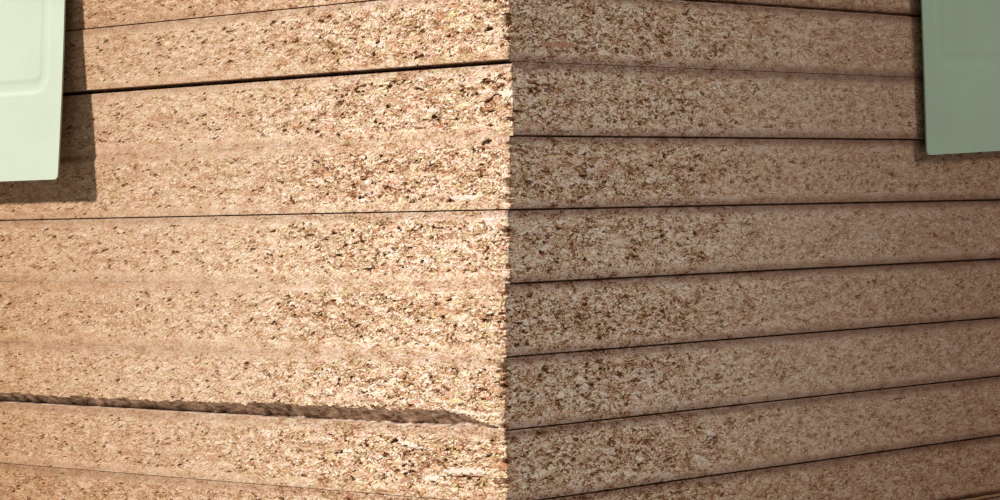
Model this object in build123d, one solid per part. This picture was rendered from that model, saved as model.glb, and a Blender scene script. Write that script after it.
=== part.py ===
from build123d import *
from math import cos, degrees, radians, sin, tan
import os

# A pack of raw three-layer particleboard sheets, lying flat on each other on the floor,
# with a pale card hung on two of its sides near one corner, the near corner.
# X runs along the sheets' length, Y along their width, Z up from the floor.
# The near corner is at +X and -Y. The frame's origin is under the middle of the pack.

os.makedirs("parts", exist_ok=True)

# Sheets, in millimetres
sheet_length = 2440.0
sheet_width = 1220.0
sheet_thickness = 18.0
sheet_count = 32
sawn_arris = 0.3
upright_corner_radius = 0.8

# How far the sheets lie out of line at the near corner, and how far they are turned
# about it: the most of each, and the angle in radians by which its wave goes on per sheet
jog_along_x = 1.1
jog_along_y = 0.8
skew_degrees = 0.018
jog_x_angle_per_sheet = 2.39
jog_y_angle_per_sheet = 1.73
skew_angle_per_sheet = 2.2

# The nine sheets seen close up at the near corner, from this index up: how far each
# stands out of line, beyond the short side (+X) and beyond the long side (-Y)
first_seen_index = 17
seen_out_short = [-2.1, -1.35, -1.55, -0.85, 0.35, 1.3, 2.2, 2.15, 1.7]
seen_out_long = [0.9, 1.0, 1.1, 0.9, 0.35, 0.5, 0.0, 0.7, 0.4]

# A strip split out of one sheet's long side, just above the skin of its underside
torn_index = 19
tear_from_corner = 2.0
tear_length = 218.0
tear_height = 3.3
tear_depth = 3.8
tear_skin = 0.6
tear_run_in = 20.0
tear_run_out = 14.0
tear_deepest_share = 0.2
tear_station_count = 43
tear_overcut = 0.4

# Pack cards: thin card, fixed flat along its top and bending away from the sheets below
card_width = 210.0
card_height = 148.0
card_thickness = 0.5
card_fixed_height = 14.0
card_corner_radius = 1.5

# The pressed frame on each card's front
groove_width = 4.2
groove_depth = 0.2
groove_from_side = 6.4
groove_from_top = 6.4
groove_from_bottom = 25.0
groove_corner_radius = 6.0

# Where each card hangs: how far its near bottom corner is from the near corner and below
# the stack's top, its lean, and the radii of the bends of its free part from the top down.
# A negative radius bends back towards the sheets. The last bend takes the length that the
# others leave.
long_card_from_corner = 167.2
long_card_below_top = 186.9
long_card_lean_degrees = 0.0
long_card_bend_radii = [1360.0]
long_card_bend_lengths = []
short_card_from_corner = 174.8
short_card_below_top = 184.8
short_card_lean_degrees = 2.0
short_card_bend_radii = [441.0, -441.0, -4000.0]
short_card_bend_lengths = [41.5, 41.5]

# What follows from the dimensions
stack_height = sheet_count * sheet_thickness
corner_x = sheet_length / 2
corner_y = -sheet_width / 2


def out_of_line(index):
    """How far a sheet stands out at the near corner: beyond the short and the long side."""
    seen = index - first_seen_index
    if 0 <= seen < len(seen_out_short):
        return seen_out_short[seen], seen_out_long[seen]
    out_short = jog_along_x * sin(jog_x_angle_per_sheet * index)
    out_long = jog_along_y * sin(jog_y_angle_per_sheet * index)
    return out_short, out_long


def skew(index):
    """How far a sheet is turned about the near corner, in degrees."""
    return skew_degrees * sin(skew_angle_per_sheet * index)


def top_of(index):
    """The height of a sheet's upper face. The sheet at the floor has index 1."""
    return index * sheet_thickness


def edge_out(side, index, from_corner):
    """How far a sheet's edge stands out on a side, at this distance from the near corner."""
    out_short, out_long = out_of_line(index)
    swing = from_corner * tan(radians(skew(index)))
    return out_short - swing if side == "short" else out_long + swing


def plain_sheet():
    """One sheet, its near bottom corner at the origin, with worn corners and sawn arrises."""
    blank = Box(sheet_length, sheet_width, sheet_thickness, align=(Align.MAX, Align.MIN, Align.MIN))
    worn = fillet(blank.edges().filter_by(Axis.Z), upright_corner_radius)
    flat_faces = worn.faces().sort_by(Axis.Z)
    return chamfer(flat_faces[0].edges() + flat_faces[-1].edges(), sawn_arris)


def tear_section(share):
    """A three-cornered section of the tear, at this share of its length from the near corner."""
    distance = tear_length * share
    fade = min(1, distance / tear_run_in, (tear_length - distance) / tear_run_out)
    height = tear_height * fade * (0.86 + 0.14 * sin(41 * share) * cos(17 * share))
    depth = tear_depth * fade * (0.8 + 0.2 * sin(29 * share + 1))
    x = -tear_from_corner - distance
    deepest = tear_skin + tear_deepest_share * height
    # The section runs past the sheet's edge, so that the groove is open there
    floor_fall = tear_overcut * (deepest - tear_skin) / depth
    roof_rise = tear_overcut * (tear_skin + height - deepest) / depth
    inner = (x, depth, deepest)
    upper = (x, -tear_overcut, tear_skin + height + roof_rise)
    lower = (x, -tear_overcut, tear_skin - floor_fall)
    return make_face(Polyline(inner, upper, lower, close=True))


def split_strip():
    """The ragged strip that is missing from the torn sheet."""
    stations = range(1, tear_station_count + 1)
    return loft([tear_section(station / (tear_station_count + 1)) for station in stations], ruled=True)


def placed(sheet, index):
    """A sheet of the pack, where it lies."""
    out_short, out_long = out_of_line(index)
    near_corner = Pos(corner_x + out_short, corner_y - out_long, top_of(index) - sheet_thickness)
    return near_corner * Rot(Z=skew(index)) * sheet


def card_line(radii, lengths):
    """The card seen from its edge: X out from the sheets, Y up, from its top to its foot."""
    rest = card_height - card_fixed_height - sum(lengths)
    pieces = [Line((0, card_height), (0, card_height - card_fixed_height))]
    for radius, length in zip(radii, [*lengths, rest]):
        turn = degrees(length / radius)
        pieces.append(JernArc(pieces[-1] @ 1, pieces[-1] % 1, abs(radius), turn))
    return Wire([edge for piece in pieces for edge in piece.edges()])


def card_layer(line, thickness, out):
    """A layer of the card, its back this far out from the card's own back."""
    side_view = Plane(origin=(0, 0, 0), x_dir=(0, -1, 0), z_dir=(-1, 0, 0))
    across = Plane(origin=(0, 0, card_height), x_dir=(1, 0, 0), z_dir=(0, 0, -1))
    section = Pos(0, out + thickness / 2) * Rectangle(card_width, thickness)
    return sweep(across * section, path=side_view * line)


def through_card(width, height, low, radius):
    """A rounded outline seen from the card's front, as a block that runs right through it."""
    outline = Plane.XZ * Pos(0, low + height / 2) * RectangleRounded(width, height, radius)
    return extrude(outline, amount=card_height, both=True)


def pack_card(line):
    """A card seen from the front: X across it, the back of its fixed top on Y = 0, -Y outwards."""
    card = card_layer(line, card_thickness, 0)
    card &= through_card(card_width, card_height, 0, card_corner_radius)
    groove_height = card_height - groove_from_top - groove_from_bottom
    around = through_card(
        card_width - 2 * groove_from_side,
        groove_height,
        groove_from_bottom,
        groove_corner_radius,
    )
    within = through_card(
        card_width - 2 * (groove_from_side + groove_width),
        groove_height - 2 * groove_width,
        groove_from_bottom + groove_width,
        groove_corner_radius - groove_width,
    )
    front_skin = card_layer(line, groove_depth, card_thickness - groove_depth)
    return card - (front_skin & (around - within))


def leaning(card, lean, near_x):
    """The card turned in its own plane about its near bottom corner."""
    return Pos(near_x, 0, 0) * Rot(Y=-lean) * Pos(-near_x, 0, 0) * card


def card_seat(side, from_corner, below_top, lean, line):
    """How far out the card's back lies at its top, so that it touches the sheets behind it."""
    near_top = stack_height - below_top + card_height
    far_top = near_top + card_width * sin(radians(lean))
    places = []
    for end, card_top in ((from_corner, near_top), (from_corner + card_width, far_top)):
        for index in range(1, sheet_count + 1):
            depth = card_top - top_of(index)
            if -sheet_thickness < depth < card_height:
                stand_off = (line @ (max(depth, 0) / card_height)).X
                places.append(edge_out(side, index, end) - stand_off)
    return max(places)


def write(shape, node):
    export_step(shape, f"parts/{node}.step")


plain = plain_sheet()
torn = plain - split_strip()
for index in range(1, sheet_count + 1):
    sheet = torn if index == torn_index else plain
    write(placed(sheet, index), f"sheet_{index:02d}")

long_line = card_line(long_card_bend_radii, long_card_bend_lengths)
long_out = card_seat(
    "long", long_card_from_corner, long_card_below_top, long_card_lean_degrees, long_line
)
long_place = Pos(
    corner_x - long_card_from_corner - card_width / 2,
    corner_y - long_out,
    stack_height - long_card_below_top,
)
long_card = leaning(pack_card(long_line), long_card_lean_degrees, card_width / 2)
write(long_place * long_card, "card_long_side")

short_line = card_line(short_card_bend_radii, short_card_bend_lengths)
short_out = card_seat(
    "short", short_card_from_corner, short_card_below_top, short_card_lean_degrees, short_line
)
short_place = Pos(
    corner_x + short_out,
    corner_y + short_card_from_corner + card_width / 2,
    stack_height - short_card_below_top,
)
short_card = leaning(pack_card(short_line), short_card_lean_degrees, -card_width / 2)
write(short_place * Rot(Z=90) * short_card, "card_short_side")
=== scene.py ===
# %% [markdown]
# # A stack of particleboard sheets
#
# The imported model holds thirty-two sheets of raw board and two pale cards. This notebook gives
# them their looks. Everything is in metres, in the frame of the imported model, so nothing has to
# be fitted: a piece that is made here goes where the solid says.

# %% Load the frame
import math

import bpy
import numpy as np
from mathutils import Matrix, Vector


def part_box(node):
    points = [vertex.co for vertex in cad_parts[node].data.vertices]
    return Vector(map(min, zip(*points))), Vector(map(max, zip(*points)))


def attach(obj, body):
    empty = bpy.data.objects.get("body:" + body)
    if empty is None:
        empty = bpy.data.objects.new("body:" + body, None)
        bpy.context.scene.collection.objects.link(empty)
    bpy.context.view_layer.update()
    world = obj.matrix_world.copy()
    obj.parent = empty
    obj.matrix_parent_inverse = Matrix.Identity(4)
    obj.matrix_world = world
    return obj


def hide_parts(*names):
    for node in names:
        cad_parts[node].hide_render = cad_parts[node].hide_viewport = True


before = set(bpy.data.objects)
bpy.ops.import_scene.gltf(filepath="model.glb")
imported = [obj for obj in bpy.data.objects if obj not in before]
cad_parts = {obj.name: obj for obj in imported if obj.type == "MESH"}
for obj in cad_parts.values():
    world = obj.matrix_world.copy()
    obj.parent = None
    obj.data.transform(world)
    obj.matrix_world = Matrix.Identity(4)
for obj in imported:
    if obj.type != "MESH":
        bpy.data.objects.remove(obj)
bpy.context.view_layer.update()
MM = 0.001

# %% [markdown]
# ## The camera and where it stands
#
# The picture is taken low, beside one corner of the stack and with a long lens. Two sides are
# seen at nearly the same slant, so the camera stands on the corner's diagonal. Its distance and
# lens follow from how fast the joints between the sheets run together on both sides.

# %% The near corner and the camera
FIRST_SEEN, LAST_SEEN = 17, 25
SHEET = 18 * MM
NEAR_X = 1220 * MM
NEAR_Y = -610 * MM
TOP_JOINT = 432 * MM

camera_from_corner = Vector((436.8, -472.4, -54.3)) * MM
target_from_corner = Vector((-1.63, -1.52, -63.8)) * MM
LENS = 95.1
ROLL = -1.2

corner = Vector((NEAR_X, NEAR_Y, TOP_JOINT))
camera_data = bpy.data.cameras.new("camera")
camera_data.lens = LENS
camera_data.clip_start = 0.05
camera = bpy.data.objects.new("camera", camera_data)
bpy.context.scene.collection.objects.link(camera)
bpy.context.scene.camera = camera
look = target_from_corner - camera_from_corner
camera.location = corner + camera_from_corner
aim = look.to_track_quat("-Z", "Y").to_matrix().to_4x4()
camera.rotation_euler = (aim @ Matrix.Rotation(math.radians(ROLL), 4, "Z")).to_euler()
print("camera stands", round(look.length / MM), "mm from the corner")

# %% [markdown]
# ## Helpers for node trees
#
# Materials and Geometry Nodes are both built from nodes with sockets. One helper makes a node,
# sets its fields and feeds its inputs. What comes out of a node is kept as a Value, so that a
# sum can be written as a sum: each sign in it makes a Math node in the tree.

# %% Nodes and what comes out of them
class Value:
    """What comes out of a node."""

    def __init__(self, tree, socket):
        self.tree, self.socket = tree, socket

    def __add__(self, other):
        return calc(self.tree, "ADD", self, other)

    def __sub__(self, other):
        return calc(self.tree, "SUBTRACT", self, other)

    def __rsub__(self, other):
        return calc(self.tree, "SUBTRACT", other, self)

    def __mul__(self, other):
        return calc(self.tree, "MULTIPLY", self, other)

    def __truediv__(self, other):
        return calc(self.tree, "DIVIDE", self, other)


def feed(tree, socket, value):
    """Link a socket to what comes out of a node, or write any other value into it."""
    value = value.socket if isinstance(value, Value) else value
    if isinstance(value, bpy.types.NodeSocket):
        tree.links.new(value, socket)
    else:
        socket.default_value = value


def add(tree, kind, inputs=None, **settings):
    """A new node in the tree, with settings as fields and inputs by socket name or number."""
    node = tree.nodes.new(kind)
    for field, value in settings.items():
        setattr(node, field, value)
    for key, value in (inputs or {}).items():
        feed(tree, node.inputs[key], value)
    return node


# %% Numbers, vectors and colours
def calc(tree, operation, *values):
    """A Math node's result."""
    node = add(tree, "ShaderNodeMath", dict(enumerate(values)), operation=operation)
    return Value(tree, node.outputs[0])


def vector_calc(tree, operation, *values):
    """A Vector Math node's result: a vector, or a number where the operation gives one."""
    node = add(tree, "ShaderNodeVectorMath", dict(enumerate(values)), operation=operation)
    output = "Value" if operation in ("DISTANCE", "DOT_PRODUCT") else "Vector"
    return Value(tree, node.outputs[output])


def remap(tree, value, low, high, to_low=0.0, to_high=1.0, smooth=True):
    """A value mapped from one range to another, held at the ends."""
    kind = "SMOOTHSTEP" if smooth else "LINEAR"
    limits = {"From Min": low, "From Max": high, "To Min": to_low, "To Max": to_high}
    node = add(tree, "ShaderNodeMapRange", {"Value": value, **limits}, interpolation_type=kind)
    return Value(tree, node.outputs["Result"])


def choose(tree, factor, first, second):
    """A number between two others."""
    inputs = {0: factor, 2: first, 3: second}
    return Value(tree, add(tree, "ShaderNodeMix", inputs, data_type="FLOAT").outputs[0])


def split(tree, vector):
    """The three parts of a vector."""
    parts = add(tree, "ShaderNodeSeparateXYZ", {"Vector": vector}).outputs
    return [Value(tree, part) for part in parts]


def ramp(tree, value, stops):
    """A colour ramp from (place, colour) stops."""
    node = add(tree, "ShaderNodeValToRGB", {"Fac": value})
    elements = node.color_ramp.elements
    while len(elements) < len(stops):
        elements.new(1.0)
    for element, (place, colour) in zip(elements, stops):
        element.position = place
        element.color = (*colour, 1.0)
    return node.outputs["Color"]


def mix_colour(tree, factor, first, second, blend="MIX"):
    """Two colours mixed by a factor."""
    inputs = {0: factor, 6: first, 7: second}
    return add(tree, "ShaderNodeMix", inputs, data_type="RGBA", blend_type=blend).outputs[2]


def new_material(name):
    """An empty material with a Principled shader. Returns the material, its tree and the shader."""
    material = bpy.data.materials.new(name)
    material.use_nodes = True
    tree = material.node_tree
    tree.nodes.clear()
    shader = add(tree, "ShaderNodeBsdfPrincipled")
    add(tree, "ShaderNodeOutputMaterial", {"Surface": shader.outputs["BSDF"]})
    return material, tree, shader

# %% [markdown]
# ## Raw particleboard
#
# A particleboard has three layers: coarse chips in its core and fine ones near both faces. The
# chips lie flat in the board, so a sawn edge shows them long and thin, and a sanded face shows
# them broad. One solid pattern, squeezed in height, gives both. It could be painted on, but the
# relief of the edge needs the same chips in the same places, so the pattern is a function that
# adds its nodes to any tree: to the material's for the colour, and later to the tree that
# shapes the edge.

# %% Noise, and cells that stand for chips
def noise(tree, place, scale, detail, roughness=0.5, output="Fac"):
    """Soft noise from 0 to 1."""
    inputs = {"Vector": place, "Scale": scale, "Detail": detail, "Roughness": roughness}
    return Value(tree, add(tree, "ShaderNodeTexNoise", inputs).outputs[output])


def noise_at(tree, place, across, up, detail=1.0, roughness=0.5, output="Fac"):
    """Soft noise with blots of about this size."""
    vector = vector_calc(tree, "MULTIPLY", place, (1 / across, 1 / across, 1 / up))
    return noise(tree, vector, 1.0, detail, roughness, output)


def bent(tree, place, size, across, up):
    """The place, pushed to and fro, so that what is laid on it bends."""
    push = noise_at(tree, place, size, size, output="Color")
    push = vector_calc(tree, "SUBTRACT", push, (0.5, 0.5, 0.5))
    push = vector_calc(tree, "MULTIPLY", push, (across, across, up))
    return vector_calc(tree, "ADD", place, push)


def chips(tree, place, length, height):
    """Flat chips of about this size: tone, level, oddness, tilt and distance from the rim."""
    vector = vector_calc(tree, "MULTIPLY", place, (1 / length, 1 / length, 1 / height))
    inputs = {"Vector": vector, "Scale": 1.0}
    cell = add(tree, "ShaderNodeTexVoronoi", inputs, feature="F1")
    rim = add(tree, "ShaderNodeTexVoronoi", inputs, feature="DISTANCE_TO_EDGE")
    own_place = vector_calc(tree, "SUBTRACT", vector, cell.outputs["Position"])
    slant = vector_calc(tree, "SUBTRACT", cell.outputs["Color"], (0.5, 0.5, 0.5))
    found = dict(zip(("tone", "level", "odd"), split(tree, cell.outputs["Color"])))
    found["tilt"] = vector_calc(tree, "DOT_PRODUCT", own_place, slant)
    found["rim"] = Value(tree, rim.outputs["Distance"])
    return found


# %% The pattern of a sawn board
# Each kind of chip: how long it is, and how high in the board
LARGE_FLAKE, COARSE_CHIP = (7.0 * MM, 1.2 * MM), (3.8 * MM, 0.9 * MM)
SMALL_CHIP, FINE_CHIP = (1.4 * MM, 0.46 * MM), (0.8 * MM, 0.34 * MM)
# Below a sanded face the fine layer gives way to the core from here to here
FINE_LAYER = (1.5 * MM, 3.0 * MM)


def height_in_board(tree, place):
    """How far a point lies above its sheet's underside, in metres."""
    share = calc(tree, "FRACT", split(tree, place)[2] / SHEET)
    return share * SHEET


def frayed_spot(tree, mark, place, across, up, fullness=1.0):
    """A marked spot with a ragged rim. A lower fullness breaks it up inside too."""
    fray = noise_at(tree, place, across, up) - 0.5
    return remap(tree, mark * fullness + fray * 1.8, 0.38, 0.62)


def sawn_pattern(tree, place):
    """The chips, voids and cracks of a board at a place in it, and where in the board that is."""
    wavy = bent(tree, place, 5 * MM, 2.8 * MM, 2.4 * MM)
    curled = bent(tree, wavy, 1.9 * MM, 1.9 * MM, 1.5 * MM)
    frayed = bent(tree, curled, 0.8 * MM, 0.6 * MM, 0.32 * MM)
    coarse = chips(tree, frayed, *COARSE_CHIP)
    small = chips(tree, frayed, *SMALL_CHIP)
    fine = chips(tree, place, *FINE_CHIP)
    height = height_in_board(tree, place)
    depth = calc(tree, "MINIMUM", height, SHEET - height)
    patchy = noise_at(tree, place, 4 * MM, 2.5 * MM)
    loose = (patchy - 0.5) * (2.2 * MM)
    core = remap(tree, depth + loose, *FINE_LAYER)
    mixed = remap(tree, noise_at(tree, place, 2.4 * MM, 1.4 * MM), 0.51, 0.55)
    found = {}
    for key in ("tone", "level", "odd", "tilt", "rim"):
        in_core = choose(tree, mixed, small[key], coarse[key])
        found[key] = choose(tree, core, fine[key], in_core)
    # A rim opens into a void only here and there, in clusters, and less so in the fine layers
    crowd = remap(tree, noise_at(tree, place, 5.5 * MM, 2.4 * MM), 0.42, 0.64)
    open_noise = noise_at(tree, wavy, 2.1 * MM, 0.8 * MM)
    start = choose(tree, core, 0.70, choose(tree, crowd, 0.68, 0.57))
    width = remap(tree, open_noise - start, 0.0, 0.15, -0.10, 0.32, smooth=False)
    found["void"] = remap(tree, found["rim"] - width, -0.11, 0.05, 1.0, 0.0)
    # Thin cracks, painted dark as shade, curl round bundles of chips
    swirl = noise_at(tree, curled, 2.2 * MM, 1.0 * MM)
    from_line = calc(tree, "ABSOLUTE", swirl - 0.5)
    crack_width = choose(tree, crowd, 0.03, 0.06)
    crack = remap(tree, from_line / crack_width, 0.3, 1.0, 1.0, 0.0)
    found["crack"] = crack * remap(tree, open_noise * core, 0.43, 0.52)
    # Here and there one large flake shows, whole and smooth, with painted shade in a dark line
    # round it
    large = chips(tree, frayed, *LARGE_FLAKE)
    pale = calc(tree, "GREATER_THAN", large["odd"], 0.955)
    dark = calc(tree, "LESS_THAN", large["odd"], 0.03)
    either = (pale + dark) * core
    body = remap(tree, large["rim"], 0.03, 0.08)
    whole = either * body
    rest = 1.0 - whole
    rim_shade = (either - whole) * 0.4
    found["void"] = found["void"] * rest
    found["crack"] = calc(tree, "MAXIMUM", found["crack"] * rest, rim_shade)
    found["level"] = choose(tree, whole, found["level"], large["level"] * 0.3)
    found.update(flake=whole, flake_pale=pale, crowd=crowd, frayed=frayed)
    found.update(core=core, depth=depth, height=height)
    return found

# %% [markdown]
# ## The board's colours
#
# A sawn edge runs from dark brown in its hollows, where the shade is painted, to pale straw on
# its smoothest flakes. The tone of a point is a sum of its chip's own tone and several noises, and
# one ramp turns the tone into a colour. Rust-brown and straw-coloured chips, and slow changes of
# hue, are laid over.

# %% Colours of the board
WOOD_STOPS = [
    (0.08, (0.095, 0.036, 0.012)),
    (0.22, (0.260, 0.122, 0.054)),
    (0.36, (0.490, 0.292, 0.168)),
    (0.49, (0.668, 0.462, 0.300)),
    (0.61, (0.790, 0.592, 0.418)),
    (0.76, (0.905, 0.738, 0.570)),
    (0.92, (0.965, 0.840, 0.690)),
]
# Painted shade: the near-black in voids, holes, cracks and slits, and the brown round a void
VOID_SHADE_COLOUR = (0.070, 0.022, 0.005, 1.0)
HOLLOW_SHADE_COLOUR = (0.33, 0.135, 0.044, 1.0)
SEAM_SHADE_COLOUR = (0.31, 0.138, 0.054, 1.0)
RUST_COLOUR = (0.64, 0.27, 0.115, 1.0)
STRAW_COLOUR = (0.83, 0.63, 0.30, 1.0)
# The broken wood inside the split-out strip
TORN_STOPS = [
    (0.38, (0.13, 0.078, 0.050)),
    (0.46, (0.38, 0.270, 0.195)),
    (0.55, (0.62, 0.480, 0.370)),
    (0.64, (0.84, 0.700, 0.580)),
]
# What the colour is multiplied by: in pinker, plain and yellower patches; where the upright
# corner is broken; away from the corner, painted shade, warmer on the long side and duller on
# the short one; and beside a joint, painted shade
HUES = [(0.34, (1.035, 0.962, 0.97)), (0.50, (1.0, 0.992, 0.97)), (0.66, (0.982, 1.005, 0.88))]
BROKEN_COLOUR = (0.86, 0.55, 0.33, 1.0)
# The painted shade far from the corner, on the long side and on the short one
FAR_SHADE_LONG = (0.685, 0.58, 0.48, 1.0)
FAR_SHADE_SHORT = (0.60, 0.52, 0.485, 1.0)
# The painted shade beside a joint
JOINT_SHADE = (0.52, 0.46, 0.47, 1.0)

# %% The colour of the wood
def wood_colour(tree, place, found, tone_and_shade, lively, vivid):
    """The colour of sawn or sanded board, and its finest relief.

    The tone and shade value makes a sheet paler or darker: its own tone, and for the seen
    sheets painted shade too. Lively is how strongly its chips stand out in tone, and vivid is
    how strongly they do in hue.
    """
    fibre = noise_at(tree, found["frayed"], 1.4 * MM, 0.25 * MM, 2.0)
    grain = noise_at(tree, place, 0.62 * MM, 0.34 * MM, 2.0, 0.62)
    cloud = noise_at(tree, place, 9 * MM, 3.5 * MM, 2.0)
    bundle = noise_at(tree, found["frayed"], 4.2 * MM, 1.7 * MM)
    spread = choose(tree, found["core"], 0.26, 0.50)
    tone = (found["tone"] - 0.5) * spread
    fine_share = choose(tree, found["core"], 1.10, 1.60)
    for value, share in ((fibre, 0.95), (grain, fine_share), (cloud, 0.42), (bundle, 0.80)):
        tone = tone + (value - 0.5) * share
    tone = tone - found["crowd"] * 0.04
    # One chip in sixteen is bark or heartwood, and as many are very pale
    dark_chip = calc(tree, "LESS_THAN", found["odd"], 0.06)
    tone = tone - dark_chip * 0.20
    pale_chip = calc(tree, "GREATER_THAN", found["odd"], 0.94)
    tone = tone + pale_chip * 0.20
    tone = tone * lively
    tone = tone + (tone_and_shade + choose(tree, found["core"], 0.565, 0.582))
    # A large flake keeps one tone of its own under the grain
    smooth = choose(tree, found["flake_pale"], 0.40, 0.74) + (fibre - 0.5) * 0.5
    tone = choose(tree, found["flake"] * 0.6, tone, smooth)
    colour = ramp(tree, tone, WOOD_STOPS)
    rusty = calc(tree, "COMPARE", found["odd"], 0.13, 0.055)
    rusty = rusty * vivid * 0.5
    colour = mix_colour(tree, rusty, colour, RUST_COLOUR)
    # Rust-brown bark dust lies in small streaks
    streak = noise_at(tree, found["frayed"], 1.9 * MM, 0.6 * MM)
    streak = remap(tree, streak, 0.61, 0.69) * choose(tree, found["core"], 0.15, 0.4)
    colour = mix_colour(tree, streak * vivid, colour, RUST_COLOUR)
    straw = calc(tree, "COMPARE", found["odd"], 0.30, 0.03) * vivid
    colour = mix_colour(tree, straw * 0.38, colour, STRAW_COLOUR)
    hue = noise_at(tree, place, 4.5 * MM, 1.8 * MM)
    hue = hue + (found["level"] - 0.5) * 0.22
    # The fine layers are pinker
    hue = hue - choose(tree, found["core"], 0.04, 0.0)
    colour = mix_colour(tree, vivid, colour, ramp(tree, hue, HUES), "MULTIPLY")
    # The rims between chips get a little painted shade everywhere
    seam_shade = remap(tree, found["rim"], 0.0, 0.12, 0.42, 0.0)
    colour = mix_colour(tree, seam_shade, colour, SEAM_SHADE_COLOUR)
    return colour, fibre, grain

# %% [markdown]
# ## The board's finish
#
# One function makes two materials. The plain one reads the object's own coordinates and finds
# everything by itself. The close one is for the boards near the camera: it reads the flat place
# of each point and the other notes that the relief keeps with the mesh. Near the upright corner
# the chips stand out most, and they grow fainter along both sides.

# %% The finish of raw board
# Distances from the upright corner. Over each pair of them, in this order: the chips of an edge
# grow fainter, painted shade darkens it, drawn joints take over from real slits, and the side
# that a point is on is told by its flat normal again, because the relief has ended.
CALMING_REACH = (35 * MM, 125 * MM)
FAR_SHADE_REACH = (45 * MM, 200 * MM)
LINE_REACH = (190 * MM, 240 * MM)
FLAT_REACH = (240 * MM, 300 * MM)
# A distance that is far from the corner for all of them, in metres
FAR = 1.0
# How strongly the chips far from the corner stand out
CALM = 0.48


def note(tree, name, output="Fac"):
    """What is kept under this name with each point of the mesh."""
    node = add(tree, "ShaderNodeAttribute", attribute_name=name, attribute_type="GEOMETRY")
    return Value(tree, node.outputs[output])


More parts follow.
